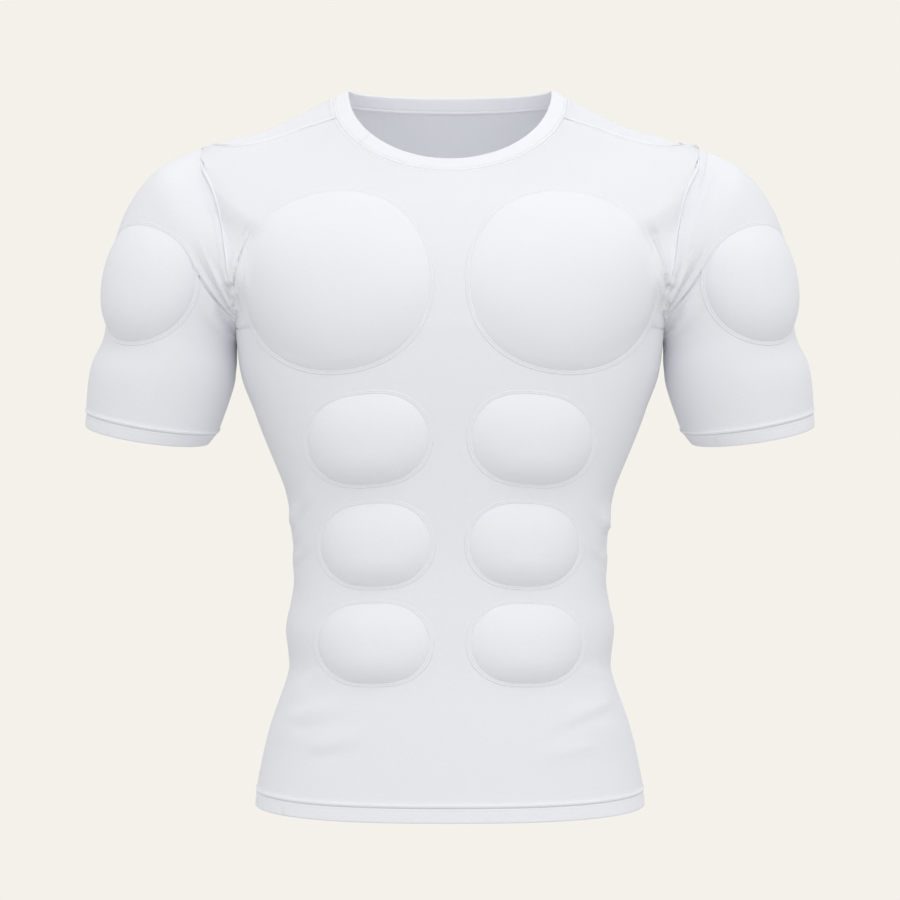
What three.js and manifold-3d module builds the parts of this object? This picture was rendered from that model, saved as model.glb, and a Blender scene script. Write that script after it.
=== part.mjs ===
// A short-sleeved compression shirt with sewn-on pads, filled out as it is when worn.
// Millimetres, +Z up, the front faces -Y, the wearer's left is +X.
// The origin lies on the middle line between the shoulders, where the wearer carries the shirt.
import * as THREE from "three";
import Module from "manifold-3d";

// Driving dimensions
const CLOTH = 1.6; // wall of the stretch knit
const BAND = 2.4; // doubled cloth of the neckband, hem band and cuffs
const SEAM_GAP = 0.3; // between pieces that are sewn together
const PAD_GAP = 0.3; // between a pad and the cloth that it is sewn on
const PAD_EDGE = 1.2; // thickness of a pad's flat sewn edge
const PAD_FLANGE = 4.5; // width of that edge
const PAD_ROOT = 3; // depth into the cloth of a pad that isn't cut to it yet
const HEM_BAND = 15; // height of the hem band
const BAND_ROUND = 0.18; // share of a band's thickness that its edges are rounded by

// Mesh steps
const COLUMNS = { front: 22, back: 16 };
const ROWS = {
  front: { body: 22, armhole: 13, shoulder: 5 },
  back: { body: 14, armhole: 13, shoulder: 5 },
};
const EASE = { front: 0.4, back: 0.6 }; // above 0 the columns are closer together towards the side
const SLEEVE_STEPS = 12;
const RING_SAMPLES = 120;
const FINE_STEP = 1e-4; // parameter step of the searches on a surface

// Rows of a table as objects with the names of its columns.
function tableOf(names, rows) {
  return rows.map((values) => Object.fromEntries(names.map((name, i) => [name, values[i]])));
}

// The body of the shirt in closed rings, from the hem up to the neckline. half, side and ridge are the
// ring's half width, height and depth at the side; front and back are its depth on the middle line,
// and frontZ and backZ its height there. square is 2 for an ellipse and more for a boxier ring.
const BODY = tableOf(["level", "half", "side", "ridge", "front", "frontZ", "back", "backZ", "square"], [
  ["hem seam", 184, -648.5, 0, -113, -654, 112, -650, 2.25],
  ["seat", 177, -613, 0, -110, -615, 110, -613, 2.25],
  ["hip", 168.5, -581, 0, -107, -582, 104, -581, 2.3],
  ["high hip", 158, -552, 0, -104, -552, 97, -552, 2.3],
  ["tuck", 152, -527, 0, -102, -527, 92, -527, 2.35],
  ["belly", 156, -496, 0, -101, -496, 89, -496, 2.35],
  ["low waist", 150, -467, 0, -100, -467, 86, -467, 2.4],
  ["waist", 147.5, -435, 0, -99.5, -435, 85, -435, 2.4],
  ["high waist", 150.5, -403, 0, -101, -403, 87, -403, 2.4],
  ["low ribs", 155, -368, 0, -104, -368, 91, -368, 2.4],
  ["ribs", 169.5, -331, 0, -108, -331, 98, -331, 2.4],
  ["high ribs", 186.5, -287, 0, -113, -287, 105, -287, 2.35],
  ["under the arm", 197, -246, 0, -116, -250, 109, -245, 2.3],
  ["armpit", 200.5, -212, 1, -117.5, -221, 111, -210, 2.25],
  ["low armhole", 226, -179, 1, -116.5, -199, 113, -177, 2.0],
  ["mid armhole", 257, -133, 1, -114, -174, 114, -141, 1.95],
  ["high armhole", 246, -81, 3, -109, -149, 112, -103, 1.95],
  ["shoulder point", 236, -38, 5, -102, -127, 107, -69, 2.1],
  ["shoulder", 187, -26, 9, -94, -106, 96, -43, 2.2],
  ["neck side", 142, -3, 11, -84, -86, 81, -19, 2.2],
  ["neckline", 113, 11.5, 11, -73, -66, 62, 3.5, 2.2],
]);
const ARMPIT = BODY.findIndex((row) => row.level === "armpit");
const SHOULDER = BODY.findIndex((row) => row.level === "shoulder point");
const NECK = BODY.length - 1;
const ARMHOLE_REACH = { front: 0.6, back: 0.58 }; // share of the ring's depth that the armhole is cut to
const ARMHOLE_ROUND = 0.55; // below 1 rounds the armhole's top and bottom
const SEAM_FORWARD = { point: 3, neck: 29 }; // the shoulder seam lies this far in front of the ridge
// How a ring climbs from the middle line to its side: on the body, and at the rounder neckline.
const CLIMB = { body: { outline: 3.8, round: 1.5 }, neck: { outline: 2, round: 2 } };

// The upper edge of the neckband, as a ring like those above.
const COLLAR = {
  half: 98,
  side: 20,
  ridge: 9,
  front: -66,
  frontZ: -53.5,
  back: 56,
  backZ: 16.4,
  square: 2.2,
};

// The lower edge of the hem band.
const HEM_EDGE = {
  ...BODY[0],
  half: BODY[0].half + 1.5,
  side: BODY[0].side - HEM_BAND,
  frontZ: BODY[0].frontZ - HEM_BAND,
  backZ: BODY[0].backZ - HEM_BAND,
};

// A sleeve in closed rings from the armhole to the cuff. Each ring runs from its outermost point, on top
// of the arm, to its innermost. middle and depth are its centre and half size along Y, and lean lowers
// its front.
const SLEEVE = tableOf(["outX", "outZ", "inX", "inZ", "middle", "depth", "lean"], [
  [272, -54, 203, -217, 2, 60, 0],
  [303, -87, 204, -222, 4, 62, -2],
  [320.5, -130, 204.5, -229, 6, 62, -4],
  [326.5, -175, 204.5, -238, 8, 62, -6],
  [330, -215, 205, -250, 9, 63, -7],
  [344, -248, 208, -270, 11, 64, -8],
  [348, -288.5, 222, -309, 13, 60, -8],
]);
// The lower edge of the cuff, as a ring like those above.
const CUFF = { outX: 349, outZ: -301.5, inX: 231, inZ: -320, middle: 14, depth: 57.5, lean: -8 };

// Pads on the front, one row for each pair. x and z are the middle of the pad in front view, wide and
// high its half sizes there, rise its height over the cloth, tilt its turn towards the side in degrees.
// square is 2 for an ellipse and more for a boxier pad, around and rings are its mesh steps.
const PAD_COLUMNS = ["name", "x", "z", "wide", "high", "rise", "tilt", "square", "around", "rings"];
const FRONT_PADS = tableOf(PAD_COLUMNS, [
  ["chest_pad", 105, -169.5, 91, 87, 15, -8, 2.15, 30, 6],
  ["abdomen_pad_upper", 75.5, -316, 60, 45, 12, -5, 2.3, 20, 5],
  ["abdomen_pad_middle", 68.5, -413.5, 55, 42, 11.5, -3, 2.3, 20, 5],
  ["abdomen_pad_lower", 70.5, -504.5, 55.5, 40.5, 11, -2, 2.35, 20, 5],
]);
// The pad on the upper arm. turn is its middle as a share of the way round the sleeve from the top over the
// front, along its share of the sleeve's length, wide its half size round the arm, drum the arm's radius.
const ARM_PAD = {
  name: "arm_pad",
  turn: 0.122,
  along: 0.485,
  drum: 62,
  wide: 64,
  high: 58.5,
  rise: 13.5,
  tilt: 0,
  square: 2.15,
  around: 24,
  rings: 5,
};

// The largest folds, in front view: from the gathered end (x, z) to the end that fades out, with the
// width across and the height, which is below 0 for a trough. side is 1 for the front and -1 for the back.
const FOLD_START = 0.2; // share of a fold's length over which it rises from the gathered end
const BODY_FOLDS = tableOf(["x", "z", "toX", "toZ", "width", "height", "side"], [
  [203, -208, 184, -128, 7, 3.2, 1],
  [206, -196, 205, -140, 6, -2.4, 1],
  [203, -205, 180, -120, 8, 2.6, -1],
  [201, -215, 160, -160, 9, 2.4, -1],
  [152, -402, 128, -370, 7, 3.4, 1],
  [150, -436, 132, -417, 7, 2.4, 1],
  [166, -585, 108, -572, 12, 2.2, 1],
  [158, -562, 128, -545, 9, 2.0, 1],
  [152, -404, 100, -384, 9, 3.0, -1],
  [150, -440, 92, -432, 10, 2.8, -1],
  [156, -560, 96, -540, 11, 2.4, -1],
]);
const SLEEVE_FOLDS = tableOf(["x", "z", "toX", "toZ", "width", "height", "side"], [
  [205, -212, 262, -140, 6, 3.4, 1],
  [206, -204, 250, -128, 5, 2.8, 1],
  [207, -220, 252, -168, 6, 3.0, 1],
  [205, -212, 256, -135, 8, 3.0, -1],
  [207, -222, 262, -180, 8, 2.8, -1],
]);

const CLOTH_COLOUR = 0xeceef3;
const PAD_COLOUR = 0xeff0f5;
const cloth = new THREE.MeshStandardMaterial({ color: CLOTH_COLOUR, roughness: 0.82, metalness: 0 });
const ribbing = new THREE.MeshStandardMaterial({ color: CLOTH_COLOUR, roughness: 0.86, metalness: 0 });
const padding = new THREE.MeshStandardMaterial({ color: PAD_COLOUR, roughness: 0.8, metalness: 0 });

const TIE = 1e-5; // a quad whose diagonals are this close in length is split like its mirror image
const SMALL = 0.1; // details under this size are joined up after a cut
const PAD_HOLD = [1.02, 1.25]; // shares of a pad's size between which the folds fade out towards it
const QUARTER = Math.PI / 2;
const lerp = THREE.MathUtils.lerp;
const clamp = THREE.MathUtils.clamp;

// The value of one column of a table at row t, on a smooth curve through its rows.
function column(rows, key, t) {
  const i = clamp(Math.floor(t), 0, rows.length - 2);
  const f = t - i;
  const at = (k) => rows[clamp(k, 0, rows.length - 1)][key];
  const [a, b, c, d] = [at(i - 1), at(i), at(i + 1), at(i + 2)];
  return b + 0.5 * f * (c - a + f * (2 * a - 5 * b + 4 * c - d + f * (3 * (b - c) + d - a)));
}

// A ring of the body at table row t.
function bodyRing(t) {
  const ring = {};
  for (const key of Object.keys(COLLAR)) {
    ring[key] = column(BODY, key, t);
  }
  const share = clamp((t - SHOULDER) / (NECK - SHOULDER), 0, 1);
  ring.outline = lerp(CLIMB.body.outline, CLIMB.neck.outline, share);
  ring.round = lerp(CLIMB.body.round, CLIMB.neck.round, share);
  return ring;
}

// A point of a ring: turn is 0 at the front, a quarter turn at the side and a half turn at the back.
function ringPoint(ring, turn) {
  const inFront = turn <= QUARTER;
  const across = Math.max(Math.sin(turn), 0) ** (2 / ring.square);
  const share = Math.abs(Math.cos(turn)) ** (2 / ring.square);
  const climb = Math.max(1 - across ** ring.outline, 0) ** (1 / ring.round);
  const middleY = inFront ? ring.front : ring.back;
  const middleZ = inFront ? ring.frontZ : ring.backZ;
  return new THREE.Vector3(
    ring.half * across,
    lerp(ring.ridge, middleY, share),
    lerp(ring.side, middleZ, climb),
  );
}

// The body's surface at table row t. A turn below 0 is the wearer's right side.
function bodySurface(t, turn) {
  const p = ringPoint(bodyRing(t), Math.abs(turn));
  if (turn < 0) p.x = -p.x;
  return p;
}

// The way out of a surface at (a, b), where the two parameters turn anticlockwise seen from outside.
function outward(surface, a, b, stepA = 0.01, stepB = 0.004) {
  const alongA = surface(a + stepA, b).sub(surface(a - stepA, b));
  const alongB = surface(a, b + stepB).sub(surface(a, b - stepB));
  return alongB.cross(alongA).normalize();
}

// How far from a pad's middle a place lies, (x, z) from it in the pad's own view: 1 is at the pad's edge.
function padShare(pad, x, z) {
  const lean = THREE.MathUtils.degToRad(pad.tilt);
  const across = Math.abs(x * Math.cos(lean) + z * Math.sin(lean)) / pad.wide;
  const up = Math.abs(z * Math.cos(lean) - x * Math.sin(lean)) / pad.high;
  return (across ** pad.square + up ** pad.square) ** (1 / pad.square);
}

// How far the folds of a table lift the cloth at a point.
function foldLift(folds, p, side) {
  const x = Math.abs(p.x);
  let lift = 0;
  for (const fold of folds) {
    if (fold.side !== side) continue;
    const runX = fold.toX - fold.x;
    const runZ = fold.toZ - fold.z;
    const length = Math.hypot(runX, runZ);
    const along = ((x - fold.x) * runX + (p.z - fold.z) * runZ) / length;
    const off = ((x - fold.x) * runZ - (p.z - fold.z) * runX) / length;
    const share = clamp(along / length, 0, 1);
    const past = along - share * length;
    const fade = Math.min(share / FOLD_START, 1) * (1 - share * share);
    const width = fold.width * (0.55 + 0.45 * share);
    lift += fold.height * fade * Math.exp(-((past / fold.width) ** 2) - (off / width) ** 2);
  }
  return lift;
}

// A pad holds the cloth flat: 0 under the front's pads and 1 away from them.
function clearOfPads(p, side) {
  if (side < 0) return 1;
  const shares = FRONT_PADS.map((pad) => padShare(pad, Math.abs(p.x) - pad.x, p.z - pad.z));
  return THREE.MathUtils.smoothstep(Math.min(...shares), ...PAD_HOLD);
}

// Where the front and back panels end on the ring at table row t, as turns. Up the armhole the back's
// edge comes forward over the ridge, so that it meets the front's at the shoulder seam.
function panelEdges(t) {
  if (t <= ARMPIT) return { front: QUARTER, back: QUARTER };
  const ring = bodyRing(t);
  const turnAt = (share) => Math.acos(clamp(share, 0, 1) ** (ring.square / 2));
  if (t < SHOULDER) {
    const round = Math.sin((Math.PI * (t - ARMPIT)) / (SHOULDER - ARMPIT)) ** ARMHOLE_ROUND;
    const top = ((t - ARMPIT) / (SHOULDER - ARMPIT)) ** 4;
    const seam = turnAt((SEAM_FORWARD.point / (ring.ridge - ring.front)) * top);
    const inBack = Math.max(Math.PI - turnAt(ARMHOLE_REACH.back * round), Math.PI - seam);
    return {
      front: Math.min(turnAt(ARMHOLE_REACH.front * round), seam),
      back: inBack - (Math.PI - 2 * seam) * top,
    };
  }
  const share = (t - SHOULDER) / (NECK - SHOULDER);
  const forward = lerp(SEAM_FORWARD.point, SEAM_FORWARD.neck, Math.sqrt(share));
  const seam = turnAt(forward / (ring.ridge - ring.front));
  return { front: seam, back: seam };
}

// Points spread evenly along a stretch of the ring at table row t, and their turns.
function spreadTurns(t, from, to, count, ease = 0) {
  const ring = bodyRing(t);
  const turns = [from];
  const lengths = [0];
  let last = ringPoint(ring, Math.abs(from));
  for (let i = 1; i <= RING_SAMPLES; i++) {
    const turn = lerp(from, to, i / RING_SAMPLES);
    const p = ringPoint(ring, Math.abs(turn));
    turns.push(turn);
    lengths.push(lengths[i - 1] + p.distanceTo(last));
    last = p;
  }
  const total = lengths[RING_SAMPLES];
  const found = [];
  for (let k = 0, i = 1; k <= count; k++) {
    const share = k / count;
    const want = total * (share + (ease * Math.sin(Math.PI * share)) / Math.PI);
    while (i < RING_SAMPLES && lengths[i] < want) {
      i++;
    }
    const f = clamp((want - lengths[i - 1]) / (lengths[i] - lengths[i - 1]), 0, 1);
    found.push(lerp(turns[i - 1], turns[i], f));
  }
  return found;
}

// The mesh rows of a panel, as table rows: evenly spaced on the middle line, and closer together at the
// ends of the armhole, where its edge is rounder.
function meshRows(steps) {
  const rows = [];
  const even = (from, to, share) => ({ middle: lerp(from, to, share), side: lerp(from, to, share) });
  for (let i = 0; i < steps.body; i++) {
    rows.push(even(0, ARMPIT, i / steps.body));
  }
  for (let i = 0; i < steps.armhole; i++) {
    const share = i / steps.armhole;
    const round = 0.5 - 0.5 * Math.cos(Math.PI * share);
    rows.push({ middle: lerp(ARMPIT, SHOULDER, share), side: lerp(ARMPIT, SHOULDER, round) });
  }
  for (let i = 0; i <= steps.shoulder; i++) {
    rows.push(even(SHOULDER, NECK, i / steps.shoulder));
  }
  return rows;
}

// The left half of a panel: its outer points and their ways out, in rows from the middle line to the side.
function panelHalf(face) {
  const isFront = face === "front";
  const count = COLUMNS[face] / 2;
  return meshRows(ROWS[face]).map(({ middle, side: atSide }) => {
    const turns = spreadTurns(atSide, isFront ? 0 : Math.PI, panelEdges(atSide)[face], count, EASE[face]);
    return turns.map((turn, k) => {
      const t = lerp(middle, atSide, (k / count) ** 2);
      const p = bodySurface(t, turn);
      const out = outward(bodySurface, t, clamp(turn, 0.012, Math.PI - 0.012));
      const side = turn < QUARTER ? 1 : -1;
      p.addScaledVector(out, foldLift(BODY_FOLDS, p, side) * clearOfPads(p, side));
      if (k === 0) out.x = 0;
      return { p, out: out.normalize() };
    });
  });
}

// A whole panel from its left half, each row from left to right as it is seen from outside.
function wholePanel(half, face) {
  const mirror = new THREE.Vector3(-1, 1, 1);
  const across = (v) => v.clone().multiply(mirror);
  return half.map((row) => {
    const other = row.slice(1).map(({ p, out }) => ({ p: across(p), out: across(out) }));
    const whole = [...other.reverse(), ...row];
    return face === "front" ? whole : whole.reverse();
  });
}

// The armhole's edge on the wearer's left, closed: down the front from the shoulder point to the armpit
// and up the back. Each entry names the panel's row that meets the sleeve there.
function armholeRows(front, back) {
  const rows = [];
  const steps = ROWS.front.armhole;
  for (let i = 0; i <= steps; i++) {
    rows.push(front[ROWS.front.body + steps - i]);
  }
  for (let i = 1; i < steps; i++) {
    rows.push(back[ROWS.back.body + i]);
  }
  return rows;
}

// Where each point of the armhole lies round the arm, as a turn from the top over the front.
function armTurns(loop) {
  const points = loop.map((entry) => entry.p);
  const [top, low] = [points[0], points[ROWS.front.armhole]];
  const axis = top.clone().sub(low);
  const centre = top.clone().add(low).multiplyScalar(0.5);
  const depth = Math.max(...points.map((p) => Math.abs(p.y - centre.y)));
  return points.map((p) => {
    const up = p.clone().sub(centre).dot(axis) / (0.5 * axis.lengthSq());
    const turn = Math.atan2((centre.y - p.y) / depth, up);
    return turn < -1e-9 ? turn + 2 * Math.PI : Math.max(turn, 0);
  });
}

// One ring of the sleeve's table as closed points, from the top over the front to the inside and back up.
function sleeveRing(ring, turns) {
  const top = new THREE.Vector3(ring.outX, ring.middle, ring.outZ);
  const low = new THREE.Vector3(ring.inX, ring.middle, ring.inZ);
  const centre = top.clone().add(low).multiplyScalar(0.5);
  const reach = top.sub(centre);
  return turns.map((turn) => {
    const p = centre.clone().addScaledVector(reach, Math.cos(turn));
    p.y -= ring.depth * Math.sin(turn);
    p.z += ring.lean * Math.sin(turn);
    return p;
  });
}

// The sleeve as a surface: along is a share of its length, around a share of the way round.
function sleeveSurface(loop, turns) {
  const count = loop.length;
  const rings = [loop.map((entry) => entry.p), ...SLEEVE.map((ring) => sleeveRing(ring, turns))];
  const onRing = (points, around) => {
    const at = (((around % 1) + 1) % 1) * count;
    const i = Math.floor(at);
    const f = at - i;
    const q = (k) => points[(i + k + count) % count];
    const [a, b, c, d] = [q(-1), q(0), q(1), q(2)];
    return new THREE.Vector3(...["x", "y", "z"].map((axis) => {
      const [pa, pb, pc, pd] = [a[axis], b[axis], c[axis], d[axis]];
      return pb + 0.5 * f * (pc - pa + f * (2 * pa - 5 * pb + 4 * pc - pd + f * (3 * (pb - pc) + pd - pa)));
    }));
  };
  return (along, around) => {
    const rows = rings.map((points) => onRing(points, around));
    const t = clamp(along, 0, 1) * (rings.length - 1);
    return new THREE.Vector3(column(rows, "x", t), column(rows, "y", t), column(rows, "z", t));
  };
}

// The sleeve's outer points and ways out, ring by ring from the armhole.
function sleeveGrid(count, surface, view) {
  const grid = [];
  for (let j = 0; j <= SLEEVE_STEPS; j++) {
    const along = j / SLEEVE_STEPS;
    const row = [];
    for (let i = 0; i < count; i++) {
      const around = i / count;
      const p = surface(along, around);
      const out = outward(surface, clamp(along, 0.012, 0.988), around);
      const side = i < count / 2 ? 1 : -1;
      const clear = THREE.MathUtils.smoothstep(padShare(ARM_PAD, ...view(p)), ...PAD_HOLD);
      p.addScaledVector(out, foldLift(SLEEVE_FOLDS, p, side) * clear * Math.min(1, j / 2));
      row.push({ p, out });
    }
    grid.push(row);
  }
  return grid;
}

// A wall of the given thickness behind a grid of outer points, as one closed geometry. kind is "front" or
// "back" for a panel, whose halves mirror each other, and "tube" for a sleeve. lift moves the wall out.
function wall(grid, thickness, kind, lift = 0) {
  const closed = kind === "tube";
  const rows = grid.length;
  const columns = grid[0].length;
  const positions = [];
  for (const offset of [lift, lift - thickness]) {
    for (const { p, out } of grid.flat()) {
      positions.push(...p.clone().addScaledVector(out, offset).toArray());
    }
  }
  const at = (layer, j, i) => (layer * rows + j) * columns + (i % columns);
  const index = [];
  const spans = closed ? columns : columns - 1;
  const quad = (a, b, c, d) => index.push(a, b, c, a, c, d);
  const otherQuad = (a, b, c, d) => quad(b, c, d, a);
  for (let j = 0; j < rows - 1; j++) {
    for (let i = 0; i < spans; i++) {
      const next = (i + 1) % columns;
      const rising = grid[j][i].p.distanceTo(grid[j + 1][next].p);
      const falling = grid[j][next].p.distanceTo(grid[j + 1][i].p);
      const even = !closed && i < spans / 2 ? -TIE : TIE;
      const split = rising <= falling + even ? quad : otherQuad;
      split(at(0, j, i), at(0, j, i + 1), at(0, j + 1, i + 1), at(0, j + 1, i));
      split(at(1, j, i), at(1, j + 1, i), at(1, j + 1, i + 1), at(1, j, i + 1));
    }
  }
  for (let i = 0; i < spans; i++) {
    quad(at(1, 0, i), at(1, 0, i + 1), at(0, 0, i + 1), at(0, 0, i));
    quad(at(0, rows - 1, i), at(0, rows - 1, i + 1), at(1, rows - 1, i + 1), at(1, rows - 1, i));
  }
  const [first, second] = kind === "front" ? [quad, otherQuad] : [otherQuad, quad];
  const end = columns - 1;
  for (let j = 0; !closed && j < rows - 1; j++) {
    first(at(0, j, 0), at(0, j + 1, 0), at(1, j + 1, 0), at(1, j, 0));
    second(at(1, j, end), at(1, j + 1, end), at(0, j + 1, end), at(0, j, end));
  }
  return geometryOf(positions, index);
}

// A geometry of points and of triangles that run anticlockwise seen from outside.
function geometryOf(positions, index) {
  const geometry = new THREE.BufferGeometry();
  geometry.setAttribute("position", new THREE.Float32BufferAttribute(positions, 3));
  geometry.setIndex(index);
  geometry.computeVertexNormals();
  return geometry;
}

// Moves the points of an edge back from a seam, towards the next ones in, by half the seam's gap.
function pullBack(edge, next) {
  const moves = edge.map((entry, i) => next[i].p.clone().sub(entry.p).setLength(SEAM_GAP / 2));
  edge.forEach((entry, i) => entry.p.add(moves[i]));
}

// Parts a panel's edge from the sleeve that is sewn to it, and cuts both walls along one direction.
function partFromSleeve(row, sleevePoint, sleeveNext) {
  const edge = row.at(-1);
  const across = sleeveNext.p.clone().sub(row.at(-2).p).setLength(SEAM_GAP / 2);
  const shared = edge.out.clone().add(sleevePoint.out).normalize();
  edge.p.sub(across);
  edge.out.copy(shared);
  return { p: sleevePoint.p.clone().add(across), out: shared.clone() };
}

// A doubled band between two closed rings of points, with its edges rounded over.
function band(lower, upper, thickness) {
  const count = lower.length;
  const section = [
    { up: 0, depth: 0.5 },
    { up: 0.04, depth: BAND_ROUND },
    { up: 0.5, depth: 0 },
    { up: 0.96, depth: BAND_ROUND },
    { up: 1, depth: 0.5 },
    { up: 0.94, depth: 1 },
    { up: 0.06, depth: 1 },
  ];
  const positions = [];
  for (let i = 0; i < count; i++) {
    const rise = upper[i].clone().sub(lower[i]);
    const along = lower[(i + 1) % count].clone().sub(lower[(i + count - 1) % count]);
    const out = along.cross(rise).normalize();
    for (const { up, depth } of section) {
      const p = lower[i].clone().addScaledVector(rise, up);
      positions.push(...p.addScaledVector(out, -depth * thickness).toArray());
    }
  }
  const index = [];
  const n = section.length;
  for (let i = 0; i < count; i++) {
    const j = (i + 1) % count;
    for (let k = 0; k < n; k++) {
      const m = (k + 1) % n;
      index.push(i * n + k, j * n + k, j * n + m, i * n + k, j * n + m, i * n + m);
    }
  }
  return geometryOf(positions, index);
}

// The turns of both panels' points on the ring at table row t, in one closed round from the wearer's right.
function seamTurns(t) {
  const edges = panelEdges(t);
  const front = spreadTurns(t, 0, edges.front, COLUMNS.front / 2, EASE.front);
  const back = spreadTurns(t, Math.PI, edges.back, COLUMNS.back / 2, EASE.back).slice(0, -1);
  const minus = (turns) => turns.slice(1).map((turn) => -turn);
  return [...minus(front).reverse(), ...front, ...back.reverse(), ...minus(back.reverse())];
}

// The points of a ring at those turns.
function ringAt(ring, turns) {
  return turns.map((turn) => {
    const p = ringPoint(ring, Math.abs(turn));
    if (turn < 0) p.x = -p.x;
    return p;
  });
}

// The parameters where the body's surface is seen at (x, z) from the front.
function findOnBody(x, z, start) {
  let [t, turn] = start;
  for (let i = 0; i < 24; i++) {
    const p = bodySurface(t, turn);
    const [missX, missZ] = [p.x - x, p.z - z];
    if (Math.hypot(missX, missZ) < 1e-4) break;
    const up = bodySurface(t + FINE_STEP, turn).sub(p).divideScalar(FINE_STEP);
    const round = bodySurface(t, turn + FINE_STEP).sub(p).divideScalar(FINE_STEP);
    const det = up.x * round.z - round.x * up.z;
    t -= (round.z * missX - round.x * missZ) / det;
    turn -= (up.x * missZ - up.z * missX) / det;
  }
  return [t, turn];
}

// The view of a pad that is wrapped round the arm as on a drum: where a point lies from the pad's middle,
// x round the arm and z up it.
function drumView(surface, pad) {
  const middle = surface(pad.along, pad.turn);
  const out = outward(surface, pad.along, pad.turn);
  const up = new THREE.Vector3(0, 0, 1).addScaledVector(out, -out.z).normalize();
  const right = up.clone().cross(out);
  const axis = middle.clone().addScaledVector(out, -pad.drum);
  return (p) => {
    const d = p.clone().sub(axis);
    return [pad.drum * Math.atan2(d.dot(right), d.dot(out)), d.dot(up)];
  };
}

// The parameters on the sleeve that lie at (x, z) in a pad's view.
function findOnSleeve(surface, view, x, z, start) {
  let [along, turn] = start;
  for (let i = 0; i < 40; i++) {
    const at = view(surface(along, turn));
    const miss = [at[0] - x, at[1] - z];
    if (Math.hypot(...miss) < 1e-4) break;
    const [ax, az] = view(surface(along + FINE_STEP, turn)).map((v, k) => (v - at[k]) / FINE_STEP);
    const [tx, tz] = view(surface(along, turn + FINE_STEP)).map((v, k) => (v - at[k]) / FINE_STEP);
    const det = ax * tz - tx * az;
    const moves = [(tz * miss[0] - tx * miss[1]) / det, (ax * miss[1] - az * miss[0]) / det];
    along = clamp(along - clamp(moves[0], -0.1, 0.1), 0.005, 0.995);
    turn -= clamp(moves[1], -0.05, 0.05);
  }
  return [along, turn];
}

// A pad that isn't cut to the cloth yet: a flat sewn edge round a dome, on a root that reaches into it.
function padBlock(surface, pad, find) {
  const flat = 1 - PAD_FLANGE / Math.min(pad.wide, pad.high);
  const domeRing = (_, k) => flat * Math.sin((QUARTER * k) / (pad.rings - 1));
  const domeRings = Array.from({ length: pad.rings }, domeRing);
  const height = (share) => {
    const q = Math.min(share / flat, 1);
    return PAD_EDGE + pad.rise * Math.max(1 - q ** 2.6, 0) ** 0.8;
  };
  let first;
  const points = (share, outwards) => {
    const ring = [];
    const steps = share === 0 ? 1 : pad.around;
    let at = first;
    for (let i = 0; i < steps; i++) {
      const turn = (2 * Math.PI * i) / pad.around + 0.0001;
      const [c, s] = [Math.cos(turn), Math.sin(turn)];
      const reach = share / (Math.abs(c) ** pad.square + Math.abs(s) ** pad.square) ** (1 / pad.square);
      const lean = THREE.MathUtils.degToRad(pad.tilt);
      const x = pad.wide * c * reach;
      const z = pad.high * s * reach;
      at = find(x * Math.cos(lean) - z * Math.sin(lean), x * Math.sin(lean) + z * Math.cos(lean), at);
      if (i === 0) first = at;
      ring.push(surface(...at).addScaledVector(outward(surface, ...at), outwards));
    }
    return ring;
  };
  const layers = [
    ...domeRings.map((share) => points(share, PAD_GAP + height(share))),
    points(1, PAD_GAP + PAD_EDGE),
    ...[1, ...domeRings.slice(0, -1).reverse()].map((share) => points(share, -PAD_ROOT)),
  ];
  const positions = layers.flat().flatMap((p) => p.toArray());
  const index = [];
  const n = pad.around;
  const start = (k) => (k === 0 ? 0 : 1 + (k - 1) * n);
  const last = layers.length - 1;
  for (let i = 0; i < n; i++) {
    const j = (i + 1) % n;
    index.push(0, 1 + i, 1 + j);
    for (let k = 1; k < last - 1; k++) {
      const [a, b] = [start(k), start(k + 1)];
      index.push(a + i, b + i, b + j, a + i, b + j, a + j);
    }
    index.push(start(last - 1) + j, start(last - 1) + i, start(last));
  }
  return geometryOf(positions, index);
}

// The pad cut to the cloth that carries it: what is left lies PAD_GAP over the cloth's own outer points.
function cutToCloth(block, clothGrid, kind) {
  const cut = solidOf(block).subtract(solidOf(wall(clothGrid, 2 * PAD_ROOT, kind, PAD_GAP)));
  const mesh = cut.simplify(SMALL).getMesh();
  return geometryOf([...mesh.vertProperties], [...mesh.triVerts]);
}

// The solid inside a closed geometry.
function solidOf(geometry) {
  const vertProperties = Float32Array.from(geometry.getAttribute("position").array);
  const triVerts = Uint32Array.from(geometry.getIndex().array);
  return new Manifold(new Mesh({ numProp: 3, vertProperties, triVerts }));
}

// The same geometry on the other side of the middle plane.
function mirrored(geometry) {
  const copy = geometry.clone();
  const position = copy.getAttribute("position");
  for (let i = 0; i < position.count; i++) {
    position.setX(i, -position.getX(i));
  }
  const index = copy.getIndex();
  for (let i = 0; i < index.count; i += 3) {
    const kept = index.getX(i);
    index.setX(i, index.getX(i + 1));
    index.setX(i + 1, kept);
  }
  copy.computeVertexNormals();
  return copy;
}

const wasm = await Module();
wasm.setup();
const { Manifold, Mesh } = wasm;
const shirt = new THREE.Group();

function add(name, geometry, material) {
  const mesh = new THREE.Mesh(geometry, material);
  mesh.name = name;
  shirt.add(mesh);
}

function addPair(name, geometry, material) {
  add(name + "_left", geometry, material);
  add(name + "_right", mirrored(geometry), material);
}

// Front, back and sleeves, cut to meet along their seams
const front = panelHalf("front");
const back = panelHalf("back");
const armhole = armholeRows(front, back);
const loop = armhole.map((row) => ({ p: row.at(-1).p.clone(), out: row.at(-1).out.clone() }));
const turns = armTurns(loop);
const sleeveAt = sleeveSurface(loop, turns);
const armView = drumView(sleeveAt, ARM_PAD);
const sleeve = sleeveGrid(loop.length, sleeveAt, armView);

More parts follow.
